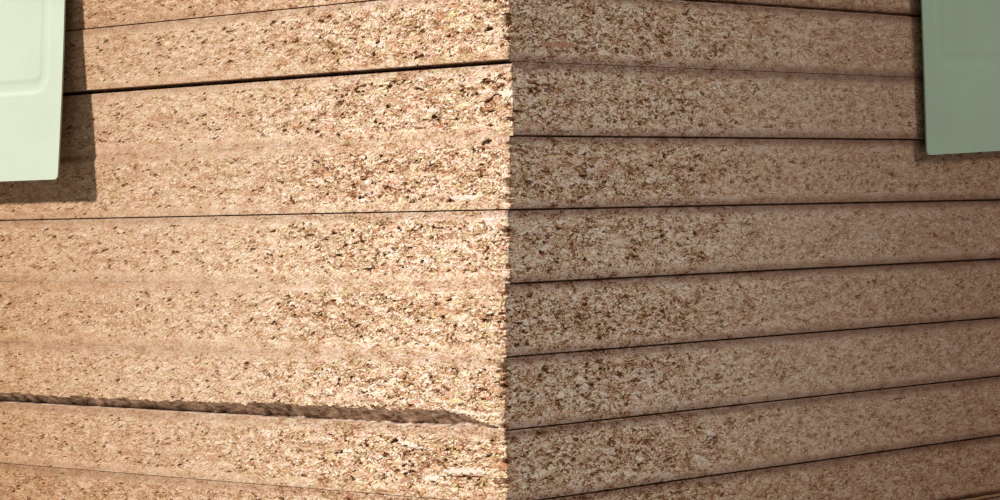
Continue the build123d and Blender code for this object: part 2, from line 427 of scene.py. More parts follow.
def particleboard(name, place_attribute=None):
    """Raw board. Its pattern follows the object's own coordinates or a kept place."""
    material, tree, shader = new_material(name)
    if place_attribute:
        place = note(tree, place_attribute, "Vector")
    else:
        place = add(tree, "ShaderNodeTexCoord").outputs["Object"]
    found = sawn_pattern(tree, place)
    normal = add(tree, "ShaderNodeNewGeometry").outputs["True Normal"]
    on_face = remap(tree, calc(tree, "ABSOLUTE", split(tree, normal)[2]), 0.85, 0.97)
    on_side = 1.0 - on_face
    on_short = remap(tree, calc(tree, "ABSOLUTE", split(tree, normal)[0]), 0.4, 0.6)
    if place_attribute:
        # Near the corner the relief turns the normal, so the side is a note there
        away, tone_and_shade, long_side = (note(tree, name) for name in ("away", "tone_and_shade", "long_side"))
        on_short = choose(tree, remap(tree, away, *FLAT_REACH), 1.0 - long_side, on_short)
    else:
        # Distances are taken from the upright corner, from the floor to the top
        level_place = vector_calc(tree, "MULTIPLY", place, (1, 1, 0))
        away = vector_calc(tree, "DISTANCE", level_place, (NEAR_X, NEAR_Y, 0))
        away = choose(tree, on_face, away, FAR)
        # Each sheet comes from its own production run, a little paler or darker than its neighbours
        number = calc(tree, "FLOOR", split(tree, place)[2] / SHEET)
        chance = add(tree, "ShaderNodeTexWhiteNoise", {"W": number}, noise_dimensions="1D")
        tone_and_shade = (Value(tree, chance.outputs["Value"]) - 0.5) * 0.12
    # On the short side, which is in shade, the chips stand out more in tone, as painted light and
    # shade, and less in hue
    lively = remap(tree, away, *CALMING_REACH, 1.0, CALM)
    vivid = lively * choose(tree, on_short, 1.0, 0.75)
    contrast = lively * choose(tree, on_short, 1.0, 1.2)
    colour, fibre, grain = wood_colour(tree, place, found, tone_and_shade, contrast, vivid)
    # Painted shade: away from the corner the edge darkens, warmer on the long side and duller on
    # the short one
    far_shade = remap(tree, away, *FAR_SHADE_REACH, smooth=False)
    far_shade_colour = mix_colour(tree, on_short, FAR_SHADE_LONG, FAR_SHADE_SHORT)
    colour = mix_colour(tree, far_shade, colour, far_shade_colour, "MULTIPLY")
    # Beside its joints an edge gets painted shade, most of all on the short side and at the sheet's
    # top
    upper = remap(tree, found["height"], 14.6 * MM, 17.4 * MM)
    lower = remap(tree, found["height"], 0.3 * MM, 3.2 * MM, 1.0, 0.0)
    upper = upper * choose(tree, on_short, 0.42, 1.0)
    lower = lower * choose(tree, on_short, 0.16, 0.85)
    joint_shade = calc(tree, "MAXIMUM", upper, lower) * on_side
    colour = mix_colour(tree, joint_shade, colour, JOINT_SHADE, "MULTIPLY")
    openness = choose(tree, on_face, 0.90, 0.25) * remap(tree, lively, CALM, 1.0, 0.6, 1.0)
    opened = calc(tree, "MAXIMUM", found["void"], found["crack"] * 0.9)
    if place_attribute:
        tint = note(tree, "tint", "Color")
        flake = frayed_spot(tree, note(tree, "flake"), found["frayed"], 2.4 * MM, 0.5 * MM)
        hole = frayed_spot(tree, note(tree, "hole"), found["frayed"], 0.9 * MM, 0.45 * MM, 0.74)
        own = mix_colour(tree, 0.22, tint, colour)
        colour = mix_colour(tree, flake * 0.92, colour, own)
        opened = opened * (1.0 - flake)
        opened = calc(tree, "MAXIMUM", opened, hole)
    # Voids, cracks and holes are painted dark with shade
    hollow = mix_colour(tree, remap(tree, opened, 0.35, 1.0), HOLLOW_SHADE_COLOUR, VOID_SHADE_COLOUR)
    covered = remap(tree, opened, 0.0, 0.55) * openness
    colour = mix_colour(tree, covered, colour, hollow)
    # A joint is a dark line. Near the corner the close boards have real slits instead.
    line = remap(tree, found["depth"], 0.22 * MM, 0.72 * MM, 0.95, 0.0) * on_side
    if place_attribute:
        line = line * remap(tree, away, *LINE_REACH)
        slit = remap(tree, note(tree, "slit"), 0.4 * MM, 1.6 * MM, 0.0, 0.85)
        line = calc(tree, "MAXIMUM", line, slit)
    colour = mix_colour(tree, line, colour, VOID_SHADE_COLOUR)
    if place_attribute:
        mottle = noise_at(tree, place, 2.4 * MM, 0.9 * MM, 3.0, 0.6)
        mottle = mottle * 0.75 + grain * 0.25
        torn = remap(tree, note(tree, "torn"), 0.10, 0.35, 0.0, 0.92)
        colour = mix_colour(tree, torn, colour, ramp(tree, mottle, TORN_STOPS))
        broken = remap(tree, note(tree, "broken"), 0.25, 1.1, 0.0, 0.75)
        colour = mix_colour(tree, broken, colour, BROKEN_COLOUR, "MULTIPLY")
    feed(tree, shader.inputs["Base Color"], colour)
    shader.inputs["Roughness"].default_value = 0.9
    shader.inputs["Specular IOR Level"].default_value = 0.07
    relief = fibre * 0.5 + grain
    if not place_attribute:
        relief = relief + found["level"] * 0.8
        relief = relief - found["void"] * 2.0
    bump = add(tree, "ShaderNodeBump", {"Height": relief, "Strength": 0.6, "Distance": 0.12 * MM})
    feed(tree, shader.inputs["Normal"], bump.outputs["Normal"])
    return material


board_finish = particleboard("raw_board")
close_finish = particleboard("raw_board_close", "sawn_place")
for finish in (board_finish, close_finish):
    print(finish.name, "has", len(finish.node_tree.nodes), "nodes")

# %% [markdown]
# ## Where the seen sheets lie
#
# Nine sheets are seen close up. Each gets a board of its own in place of its solid. The sheets
# lie a little out of line, so the corner of each is read from its solid.

# %% Find each near corner
def side_line(node, axis, sign):
    """The ends of a sheet's side, the one by the near corner first, from its flat face."""
    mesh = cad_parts[node].data
    chosen = [p for p in mesh.polygons if p.normal[axis] * sign > 0.999]
    points = [mesh.vertices[v].co for p in chosen for v in p.vertices]
    points.sort(key=lambda co: co.x - co.y, reverse=True)
    return points[0].xy, points[-1].xy


def near_corner(index):
    """Where a sheet's two seen sides would meet, and the directions along them."""
    node = f"sheet_{index:02d}"
    long_near, long_far = side_line(node, 1, -1)
    short_near, short_far = side_line(node, 0, 1)
    along_long = (long_far - long_near).normalized()
    along_short = (short_far - short_near).normalized()
    gap = short_near - long_near
    cross = along_long.x * along_short.y - along_long.y * along_short.x
    step = (gap.x * along_short.y - gap.y * along_short.x) / cross
    return long_near + along_long * step, along_long, along_short


for index in (FIRST_SEEN, LAST_SEEN):
    meeting, _, _ = near_corner(index)
    print("sheet", index, "meets at", round(meeting.x / MM, 2), round(meeting.y / MM, 2))

# %% [markdown]
# ## Boards with a dense edge
#
# Low sun shows every chip on a sawn edge, so the relief has to be real. Each board starts as a
# plain closed block whose two seen edges are a fine net: its columns are close together at the
# corner and wider away from it. Every point keeps notes for the next steps: which way is into
# the board and along its side, how far it is from the corner and above the underside, how much
# relief it gets, and which flake, hole, notch or open joint it belongs to.

# %% The net of points
SHEET_LENGTH, SHEET_WIDTH = 2440 * MM, 1220 * MM
# The net reaches this far from the corner. Its columns are narrowest up to the second distance,
# and then grow wider until the net's end.
CLOSE_REACH, FINE_REACH = 232 * MM, 60 * MM
FINE_COLUMN, WIDE_COLUMN = 0.38 * MM, 1.25 * MM
# How high a row is, in the picture and out of it, and where two more rows lie by each arris
ROW, PLAIN_ROW = 0.33 * MM, 1.5 * MM
ARRIS_ROWS = [0.09 * MM, 0.19 * MM]


def column_places():
    """Distances from the corner at which the edge has a column of points."""
    places = [0.0]
    while places[-1] < CLOSE_REACH:
        share = max(0.0, (places[-1] - FINE_REACH) / (CLOSE_REACH - FINE_REACH))
        places.append(places[-1] + FINE_COLUMN + (WIDE_COLUMN - FINE_COLUMN) * share)
    return np.array(places)


def row_levels(low, high):
    """Heights above a sheet's underside: close rows from low to high, and wide ones elsewhere."""
    levels = list(np.linspace(low, high, int(round((high - low) / ROW)) + 1))
    if low == 0:
        levels[1:1] = ARRIS_ROWS
    else:
        levels[:0] = np.arange(0, low, PLAIN_ROW)
    if high == SHEET:
        levels[-1:-1] = [SHEET - level for level in reversed(ARRIS_ROWS)]
    else:
        levels += list(np.arange(SHEET, high, -PLAIN_ROW)[::-1])
    return np.array(levels)


def keep(mesh, name, kind, values):
    """Keep a value with each point of the mesh, under a name."""
    field = "vector" if kind == "FLOAT_VECTOR" else "value"
    values = np.asarray(values, dtype=np.float32).ravel()
    mesh.attributes.new(name, kind, "POINT").data.foreach_set(field, values)


print("columns on a side", len(column_places()), "rows", len(row_levels(0.0, SHEET)))

# %% Open and closed joints
# The open slit between a sheet and the one above it, by the lower one's number: how high it is
# on the long side and on the short side, in millimetres
SLITS = {
    16: (0.10, 0.55), 17: (0.12, 0.56), 18: (0.0, 0.60), 19: (0.0, 0.56), 20: (0.0, 0.60),
    21: (0.26, 0.60), 22: (0.0, 0.58), 23: (0.95, 0.16), 24: (0.30, 1.10), 25: (0.10, 0.50),
}
# How deep a slit is on each side. At a closed joint the sheet that stands out further is rubbed
# flush with its neighbour over this height.
SLIT_DEPTHS = (3.2 * MM, 1.5 * MM)
FLUSH_REACH = 2.2 * MM


def stands_out(index, side):
    """How far a sheet's corner stands out on the long side or on the short side."""
    meeting, _, _ = near_corner(index)
    return NEAR_Y - meeting.y if side == 0 else meeting.x - NEAR_X


def slit_depths(index, levels, side):
    """How far a sheet's arrises lie back at each row: open joints are slits, closed ones flush."""
    depths = np.zeros(len(levels))
    for joint, other, reach in ((index - 1, index - 1, levels), (index, index + 1, SHEET - levels)):
        half = SLITS[joint][side] * MM / 2
        if half > 0:
            depths += SLIT_DEPTHS[side] * np.clip(1 - reach / half, 0, 1) ** 0.35
        else:
            step = max(0.0, stands_out(index, side) - stands_out(other, side))
            share = np.clip(1 - reach / FLUSH_REACH, 0, 1)
            depths += step * share * share * (3 - 2 * share)
    return depths


# %% Flakes, holes and notches in their measured places
# What catches the eye near the corner. Each mark has its side, how far its middle is from the
# corner, how high that is above the floor, its length and its height in millimetres, and its
# slant in degrees, the far end up.
MARKS = {
    "pale": [
        ("long", 2.3, 406.3, 4.3, 2.0, 1), ("long", 9.5, 407.0, 4.7, 1.0, 1),
        ("long", 33.1, 319.2, 9.7, 1.1, 8), ("long", 14.3, 313.5, 14.6, 1.5, -3),
        ("long", 26.2, 311.1, 6.0, 1.5, -3), ("long", 13.6, 328.1, 10.7, 0.9, 7),
        ("long", 27.6, 403.3, 3.8, 1.2, 2), ("long", 15.7, 381.2, 10.3, 1.2, 0),
        ("long", 6.7, 375.7, 5.0, 1.0, 2), ("short", 30.2, 387.6, 4.2, 1.0, 3),
        ("short", 9.6, 331.8, 3.4, 0.3, 15),
    ],
    "straw": [
        ("long", 16.5, 330.8, 4.8, 1.2, -2), ("short", 15.8, 390.8, 7.4, 0.8, 3),
        ("short", 30.3, 366.0, 6.1, 0.8, 0),
    ],
    "rust": [
        ("long", 35.3, 310.3, 4.3, 0.9, -3), ("long", 46.5, 330.0, 4.8, 0.8, 0),
        ("long", 16.3, 399.9, 5.1, 0.6, -1), ("long", 2.9, 373.9, 3.3, 1.1, 7),
        ("long", 5.9, 368.1, 3.1, 1.2, -9), ("long", 0.4, 314.8, 3.0, 1.2, 11),
        ("long", 12.9, 422.1, 5.8, 0.6, 5), ("short", 18.0, 418.5, 13.8, 1.5, 2),
    ],
    "hole": [
        ("long", 7.8, 404.9, 3.1, 0.9, -15), ("long", 7.3, 402.2, 3.0, 0.6, -6),
        ("long", 3.9, 408.1, 2.6, 0.4, -16), ("short", 1.7, 401.9, 6.1, 0.6, -3),
        ("long", 7.8, 394.7, 3.5, 1.0, -14), ("long", 7.7, 368.2, 2.1, 0.7, -43),
        ("short", 4.7, 366.0, 5.0, 0.4, 18), ("long", 1.2, 352.7, 2.5, 0.7, -1),
        ("short", 9.1, 356.8, 2.5, 1.0, 12), ("short", 5.4, 350.0, 2.6, 0.8, -11),
        ("short", 4.5, 344.7, 2.6, 0.9, -8), ("long", 14.6, 312.0, 11.0, 0.5, -2),
        ("long", 38.9, 319.8, 2.9, 1.0, -8), ("short", 6.8, 384.6, 2.9, 1.0, 4),
        ("short", 27.3, 386.0, 3.0, 0.8, 0), ("short", 8.9, 333.1, 1.5, 0.6, -13),
        ("short", 9.6, 330.2, 1.7, 0.6, -16), ("long", 6.7, 422.2, 2.7, 0.8, -9),
        ("short", 9.1, 407.3, 3.3, 0.8, -12),
    ],
}
MARK_TINTS = {
    "pale": (0.88, 0.765, 0.65), "straw": (0.80, 0.66, 0.34), "rust": (0.46, 0.185, 0.085),
}
# Where chips have broken out of the upright corner: each notch's height above the floor, its
# own height and its depth, in millimetres
NOTCHES = [
    (421.0, 0.7, 0.6), (394.1, 0.8, 0.9), (373.2, 1.3, 1.5), (360.6, 1.0, 1.2), (334.4, 0.7, 0.9),
    (332.9, 0.8, 1.0), (320.7, 0.7, 0.9), (316.4, 1.6, 1.6), (302.0, 1.1, 1.0),
]


def spot(reach, height, mark, seed):
    """1 inside a marked spot on an edge, falling to 0 at its ragged rim."""
    _, middle, level, length, tall, slant = mark
    turn = math.radians(slant)
    along, up = reach / MM - middle, height / MM - level
    past = along * math.cos(turn) + up * math.sin(turn)
    over = up * math.cos(turn) - along * math.sin(turn)
    over = over + 0.14 * tall * np.sin(past * 2.1 + seed)
    ragged = 1 + 0.16 * np.sin(past * 3.7 + seed * 2.3) + 0.10 * np.sin(past * 7.9 + seed)
    size = np.hypot(past / (length / 2), over / (tall / 2 * ragged))
    return np.clip((1.15 - size) / 0.3, 0, 1)


def mark_notes(reach, height, long_side):
    """The flakes, the holes, the flakes' tint and the notches at each point of a board's edge."""
    flake, hole, notch = (np.zeros(reach.shape) for _ in range(3))
    tint = np.zeros((*reach.shape, 3))
    for kind, marks in MARKS.items():
        for seed, mark in enumerate(marks):
            own = spot(reach, height, mark, seed) * (long_side == (mark[0] == "long"))
            if kind == "hole":
                hole = np.maximum(hole, own)
            else:
                flake = np.maximum(flake, own)
                tint[own > 0] = MARK_TINTS[kind]
    for level, tall, depth in NOTCHES:
        share = np.clip(1.3 - np.abs(height / MM - level) / (tall / 2), 0, 1)
        notch = np.maximum(notch, 0.8 * depth * MM * share * np.exp(-reach / (1.1 * MM)))
    return flake, hole, tint, notch


print("marks", {kind: len(marks) for kind, marks in MARKS.items()}, "notches", len(NOTCHES))

# %% One board and its notes
# How much paler each seen sheet is than the usual board: its own tone, and painted shade that
# darkens the lowest and the highest seen sheet most
SHEET_TONE_AND_SHADE = {
    17: -0.08, 18: -0.01, 19: 0.03, 20: 0.01, 21: 0.04, 22: 0.0, 23: 0.02, 24: -0.01, 25: -0.08,
}
# The lowest seen sheet has close rows from the first height up, the highest up to the second
LOW_CUT, HIGH_CUT = 5 * MM, 13 * MM
# The relief ends over this reach at the net's end, and begins over this one at the corner
END_FADE, CORNER_FADE = 10 * MM, 0.7 * MM


def dense_board(index):
    """A board with a dense edge, with the notes for the relief kept at its points."""
    meeting, along_long, along_short = near_corner(index)
    corner_point, u, v = (np.array((*vector, 0.0)) for vector in (meeting, along_long, along_short))
    base = (index - 1) * SHEET
    low = LOW_CUT if index == FIRST_SEEN else 0.0
    high = HIGH_CUT if index == LAST_SEEN else SHEET
    levels = row_levels(low, high)
    away = column_places()
    fade = np.clip((CLOSE_REACH - away) / END_FADE, 0, 1) * np.clip(away / CORNER_FADE, 0, 1)
    # One ring round the board: the far end, along the long side to the corner, along the short
    # side and back. Each point has its place, the way into the board, the way along its side
    # from the corner, how much relief it gets and how far it is from the corner.
    nothing = np.zeros(3)
    ring = [(corner_point + u * SHEET_LENGTH, nothing, nothing, 0, FAR)]
    for reach, share in zip(away[:0:-1], fade[:0:-1]):
        ring.append((corner_point + u * reach, v, u, share, reach))
    ring.append((corner_point, u + v, nothing, 0, 0))
    for reach, share in zip(away[1:], fade[1:]):
        ring.append((corner_point + v * reach, u, v, share, reach))
    for far_corner in (v * SHEET_WIDTH, u * SHEET_LENGTH + v * SHEET_WIDTH):
        ring.append((corner_point + far_corner, nothing, nothing, 0, FAR))
    flat, inward, along, weight, distance = (np.array(column) for column in zip(*ring))

    count, rows = len(ring), len(levels)
    places = np.vstack([flat + (0, 0, base + level) for level in levels])
    faces = [tuple(range(count))[::-1], tuple(range((rows - 1) * count, rows * count))]
    for row in range(rows - 1):
        start = row * count
        for k in range(count):
            after = (k + 1) % count
            faces.append((start + k, start + after, start + count + after, start + count + k))
    mesh = bpy.data.meshes.new(f"board_{index}")
    mesh.from_pydata(places.tolist(), [], faces)
    long_side = (np.arange(count) <= len(away)).astype(float)
    on_sides = zip(*(slit_depths(index, levels, side) for side in (0, 1)))
    slit = [np.where(long_side > 0, *pair) for pair in on_sides]
    away, long_side = np.tile(distance, rows), np.tile(long_side, rows)
    flake, hole, tint, notch = mark_notes(away, np.repeat(base + levels, count), long_side > 0)
    for name, values in {
        "weight": np.tile(weight, rows), "away": away, "level": np.repeat(levels, count),
        "long_side": long_side, "slit": slit, "tone_and_shade": np.full(rows * count, SHEET_TONE_AND_SHADE[index]),
        "flake": flake, "hole": hole, "notch": notch,
    }.items():
        keep(mesh, name, "FLOAT", values)
    for name, vectors in {
        "inward": np.tile(inward, (rows, 1)), "along": np.tile(along, (rows, 1)), "tint": tint,
    }.items():
        keep(mesh, name, "FLOAT_VECTOR", vectors)
    return mesh

# %% [markdown]
# ## The relief
#
# The tree asks the pattern for the chips at each point, and moves the point into the board:
# each chip lies at its own level and tilts its own way, a void is a pit, and the arrises and the
# corner are worn. It keeps the point's flat place for the material, so that colour and relief
# stay together, however deep a point goes.

# %% The tree that carves the sawn edge
def interface(tree, name, kind, default=None):
    """A named input of the tree."""
    socket = tree.interface.new_socket(name, in_out="INPUT", socket_type=kind)
    if default is not None:
        socket.default_value = default


def noted(tree, name, kind="FLOAT"):
    """What is kept under this name with each point, as note() reads it in a material."""
    node = add(tree, "GeometryNodeInputNamedAttribute", {"Name": name}, data_type=kind)
    return Value(tree, node.outputs["Attribute"])


def noise_between(tree, place, across, up, detail, low, high, roughness=0.5):
    """Soft noise whose usual range is spread from low to high."""
    found = noise_at(tree, place, across, up, detail, roughness)
    return remap(tree, found, 0.3, 0.7, low, high, smooth=False)


def relief_tree():
    """The tree that carves a board's edge. Its inputs are the sizes of what is carved."""
    tree = bpy.data.node_groups.new("sawn_relief", "GeometryNodeTree")
    interface(tree, "Geometry", "NodeSocketGeometry")
    tree.interface.new_socket("Geometry", in_out="OUTPUT", socket_type="NodeSocketGeometry")
    interface(tree, "Finish", "NodeSocketMaterial")
    for name, size in (
        ("Chip step", 0.13 * MM),
        ("Chip tilt", 0.20 * MM),
        ("Fine step", 0.06 * MM),
        ("Void depth", 0.7 * MM),
        ("Hole depth", 0.8 * MM),
        ("Arris wear", 0.05 * MM),
        ("Corner wear", 0.85 * MM),
        ("Chunk", 1.1 * MM),
        ("Tear start", 2.0 * MM),
        ("Tear length", 218.0 * MM),
        ("Tear run in", 20.0 * MM),
        ("Tear height", 0.0),
        ("Tear depth", 0.0),
    ):
        interface(tree, name, "NodeSocketFloat", size)
    given = add(tree, "NodeGroupInput").outputs
    place = add(tree, "GeometryNodeInputPosition").outputs[0]
    found = sawn_pattern(tree, place)
    away, level = noted(tree, "away"), noted(tree, "level")

    step = choose(tree, found["core"], given["Fine step"], given["Chip step"])
    depth = found["level"] * step
    tilt = found["tilt"] * given["Chip tilt"] * found["core"]
    depth = depth + (tilt + 0.05 * MM)
    deep = choose(tree, found["core"], 0.35, 1.0)
    pit = found["void"] * given["Void depth"] * deep
    depth = depth + pit
    edge = remap(tree, found["depth"], 0.0, 0.45 * MM, 1.0, 0.0)
    chipped = remap(tree, noise_at(tree, place, 2.0 * MM, 40 * MM, 2.0), 0.35, 0.7, 0.35, 2.4)
    wear = edge * given["Arris wear"] * chipped
    depth = (depth + wear) * remap(tree, away, *CALMING_REACH, 1.0, 0.6)
    flake = frayed_spot(tree, noted(tree, "flake"), found["frayed"], 2.4 * MM, 0.5 * MM)
    hole = frayed_spot(tree, noted(tree, "hole"), found["frayed"], 0.9 * MM, 0.45 * MM, 0.74)
    depth = choose(tree, flake, depth, 0.03 * MM)
    depth = depth + hole * given["Hole depth"]

    # A strip is split out above the skin of the underside, on the long side only. The skin is
    # thicker near the corner. The groove has a flat floor, is deepest just above it, and has a
    # ragged roof, which is lower far from the corner.
    along = away - given["Tear start"]
    left_over = given["Tear length"] - along
    fade = calc(tree, "MINIMUM", along / given["Tear run in"], 1.0)
    fade = calc(tree, "MINIMUM", fade, left_over / given["Tear run in"])
    fade = calc(tree, "POWER", calc(tree, "MAXIMUM", fade, 0.0), 0.8)
    ragged = noise_between(tree, place, 6.0 * MM, 60 * MM, 4.0, 0.80, 1.18, roughness=0.6)
    ragged = ragged * remap(tree, away, 60 * MM, 140 * MM, 1.0, 0.72)
    tear_top = fade * ragged * given["Tear height"]
    tear_top = calc(tree, "MAXIMUM", tear_top, 0.0001 * MM)
    skin = remap(tree, away, 8 * MM, 35 * MM, 0.50 * MM, 0.12 * MM, smooth=False)
    up = (level - skin) / tear_top
    floor = remap(tree, up, 0.0, 0.06, smooth=False)
    under_roof = calc(tree, "MAXIMUM", 1.0 - up, 0.0)
    roof = calc(tree, "POWER", under_roof, 0.45)
    hollow = floor * roof
    torn = hollow * calc(tree, "GREATER_THAN", given["Tear height"], 0.1 * MM)
    torn = torn * noted(tree, "long_side")
    rough = noise_between(tree, place, 6.0 * MM, 2.0 * MM, 2.0, 0.86, 1.10)
    tear = torn * rough * given["Tear depth"]
    tear = tear * calc(tree, "POWER", fade, 0.5)
    # Inside, the floor lies no higher than the lip
    sunk = torn * calc(tree, "POWER", under_roof, 4.0) * (-0.4 * MM)
    slit = noted(tree, "slit") * noise_between(tree, place, 5 * MM, 90 * MM, 2.0, 0.55, 1.2)
    depth = depth + tear + slit
    depth = depth * noted(tree, "weight")

    # The upright corner: chips have broken out of it, and both sides follow
    notch = noise_at(tree, place, 30 * MM, 0.7 * MM, 2.0) * 0.45
    notch = notch + noise_at(tree, place, 30 * MM, 3.2 * MM) * 0.55
    notch = remap(tree, notch, 0.42, 0.68, 0.05, 0.85, smooth=False)
    worn = notch * given["Corner wear"]
    worn = worn * calc(tree, "EXPONENT", away / (-0.55 * MM))
    worn = worn + noted(tree, "notch")
    # Now and then a whole chunk is gone
    chunk = remap(tree, noise_at(tree, place, 30 * MM, 2.2 * MM), 0.585, 0.62)
    worn = worn + chunk * calc(tree, "EXPONENT", away / (-1.4 * MM)) * given["Chunk"]
    worn = worn * (1.0 - flake * 0.85)
    moved = add(tree, "ShaderNodeCombineXYZ", {"Z": sunk}).outputs[0]
    for way, reach in (("along", worn), ("inward", depth + worn)):
        inputs = {0: noted(tree, way, "FLOAT_VECTOR"), "Scale": reach}
        push = add(tree, "ShaderNodeVectorMath", inputs, operation="SCALE").outputs[0]
        moved = vector_calc(tree, "ADD", push, moved)

    kept = given["Geometry"]
    for name, value, kind in (
        ("sawn_place", place, "FLOAT_VECTOR"),
        ("torn", torn, "FLOAT"),
        ("broken", worn / MM, "FLOAT"),
    ):
        inputs = {"Geometry": kept, "Name": name, "Value": value}
        store = add(tree, "GeometryNodeStoreNamedAttribute", inputs, data_type=kind, domain="POINT")
        kept = store.outputs[0]
    carved = add(tree, "GeometryNodeSetPosition", {"Geometry": kept, "Offset": moved})
    real = add(tree, "GeometryNodeRealizeInstances", {"Geometry": carved.outputs[0]}).outputs[0]
    inputs = {"Geometry": real, "Material": given["Finish"]}
    finished = add(tree, "GeometryNodeSetMaterial", inputs)
    add(tree, "NodeGroupOutput", {"Geometry": finished.outputs[0]})
    return tree


sawn_relief = relief_tree()
print("the relief's tree has", len(sawn_relief.nodes), "nodes")

# %% From a tree to a plain mesh
def new_piece(name, data):
    """An object in the scene."""
    piece = bpy.data.objects.new(name, data)
    bpy.context.scene.collection.objects.link(piece)
    return piece


def plain_mesh(carrier):
    """What a carrier looks like, as a plain mesh. The carrier and its modifier go."""
    bpy.context.view_layer.update()
    depsgraph = bpy.context.evaluated_depsgraph_get()
    mesh = bpy.data.meshes.new_from_object(carrier.evaluated_get(depsgraph))
    bpy.data.objects.remove(carrier)
    return mesh


def run_tree(carrier, tree, values):
    """What a tree makes of a carrier. The tree's inputs are set by their identifiers."""
    modifier = carrier.modifiers.new("tree", "NODES")
    modifier.node_group = tree
    for item in tree.interface.items_tree:
        if item.in_out == "INPUT" and item.name in values:
            modifier[item.identifier] = values[item.name]
    return plain_mesh(carrier)


def triangles(mesh):
    """How many triangles a mesh's faces make."""
    return sum(len(polygon.vertices) - 2 for polygon in mesh.polygons)

# %% Carve the nine boards
TORN_SHEET = 19
TEAR = {"Tear height": 3.8 * MM, "Tear depth": 4.7 * MM}
total = 0
for index in range(FIRST_SEEN, LAST_SEEN + 1):
    carrier = new_piece("board_carrier", dense_board(index))
    values = {"Finish": close_finish, **(TEAR if index == TORN_SHEET else {})}
    piece = new_piece(f"seen_board_{index:02d}", run_tree(carrier, sawn_relief, values))
    piece.data.name = piece.name
    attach(piece, "root")
    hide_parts(f"sheet_{index:02d}")
    total += triangles(piece.data)
print("nine boards with", total, "triangles")

# %% [markdown]
# ## The other sheets
#
# The rest of the pack is only seen from afar, so its solids stay and take the plain finish.

# %% Finish the other sheets
sheets = [solid for node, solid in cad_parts.items() if node.startswith("sheet_")]
for solid in sheets:
    solid.data.materials.clear()
    solid.data.materials.append(board_finish)
print("sheets that have the plain finish", len(sheets) - (LAST_SEEN + 1 - FIRST_SEEN))

# %% [markdown]
# ## The pack cards
#
# Each card is a thin sheet of pale green board, fixed along its top, so its free part has
# curled. A shallow frame is pressed into its front with a rounded tool, so the frame has soft
# shoulders, not the sharp steps of the solid. The card is a net of points, closer where the
# frame's shoulders are. Each point is pressed in by its distance from the frame's middle line,
# and then carried along the bend.

# %% Sizes of the cards and their bend
CARD_WIDTH, CARD_HEIGHT, CARD_THICK = 210 * MM, 148 * MM, 0.5 * MM
CARD_FIXED, CARD_CORNER = 14 * MM, 1.5 * MM
# The pressed frame: its width and depth, how far it is from the card's sides, top and foot,
# the radius of its outer corners, and how far its soft shoulders reach in
FRAME_WIDTH, FRAME_DEPTH = 5.1 * MM, 0.13 * MM
FRAME_SIDE, FRAME_TOP, FRAME_FOOT = 5.9 * MM, 5.9 * MM, 24.6 * MM
FRAME_CORNER, FRAME_SHOULDER = 6.4 * MM, 1.8 * MM
# Places down the card at which its bend is reckoned, ten to the millimetre
BEND_STEPS = 1481


def bend_of_card(radii, lengths):
    """Places down the card, from its top: how far out, how far down, and the slope."""
    steps = np.linspace(0, CARD_HEIGHT, BEND_STEPS)
    ends = CARD_FIXED + np.cumsum([0, *lengths])
    curve = np.zeros(len(steps))
    for radius, start in zip(radii, ends):
        curve[steps >= start] = 1 / radius
    step = steps[1]
    angle = np.concatenate([[0], np.cumsum(curve[:-1]) * step])
    out = np.concatenate([[0], np.cumsum(np.sin(angle[:-1])) * step])
    down = np.concatenate([[0], np.cumsum(np.cos(angle[:-1])) * step])
    return steps, out, down, angle


# %% The pressed frame and the card's net
def frame_press(across, up):
    """How far the front is pressed in at a place on the card, measured from its near foot."""
    inset = FRAME_SIDE + FRAME_WIDTH / 2
    low, high = FRAME_FOOT + FRAME_WIDTH / 2, CARD_HEIGHT - FRAME_TOP - FRAME_WIDTH / 2
    middle_x, middle_y = CARD_WIDTH / 2, (low + high) / 2
    radius = FRAME_CORNER - FRAME_WIDTH / 2
    half_x, half_y = CARD_WIDTH / 2 - inset - radius, (high - low) / 2 - radius
    past_x = np.abs(across - middle_x) - half_x
    past_y = np.abs(up - middle_y) - half_y
    outside = np.hypot(np.maximum(past_x, 0), np.maximum(past_y, 0))
    line = outside + np.minimum(np.maximum(past_x, past_y), 0) - radius
    share = np.clip((FRAME_WIDTH / 2 - np.abs(line)) / FRAME_SHOULDER, 0, 1)
    return FRAME_DEPTH * share * share * (3 - 2 * share)


def net_lines(size, near_frame, far_frame, wide):
    """Grid lines over a length: wide ones, and close ones round the frame's shoulders."""
    shoulders = (near_frame, near_frame + FRAME_WIDTH, far_frame, far_frame - FRAME_WIDTH)
    close = [edge + offset * MM for edge in shoulders for offset in np.arange(-1.5, 1.51, 0.25)]
    rim = [0, 0.12 * MM, 0.45 * MM, 0.95 * MM, 1.5 * MM]
    lines = np.concatenate([np.arange(0, size, wide), close, rim, size - np.array(rim)])
    lines = np.unique(np.round(lines, 6))
    kept = [lines[0]]
    for value in lines[1:]:
        if value - kept[-1] > 0.1 * MM:
            kept.append(value)
    kept[-1] = size
    return np.array(kept)


# %% The mesh of a card
WAVE_HEIGHT = 0.10 * MM


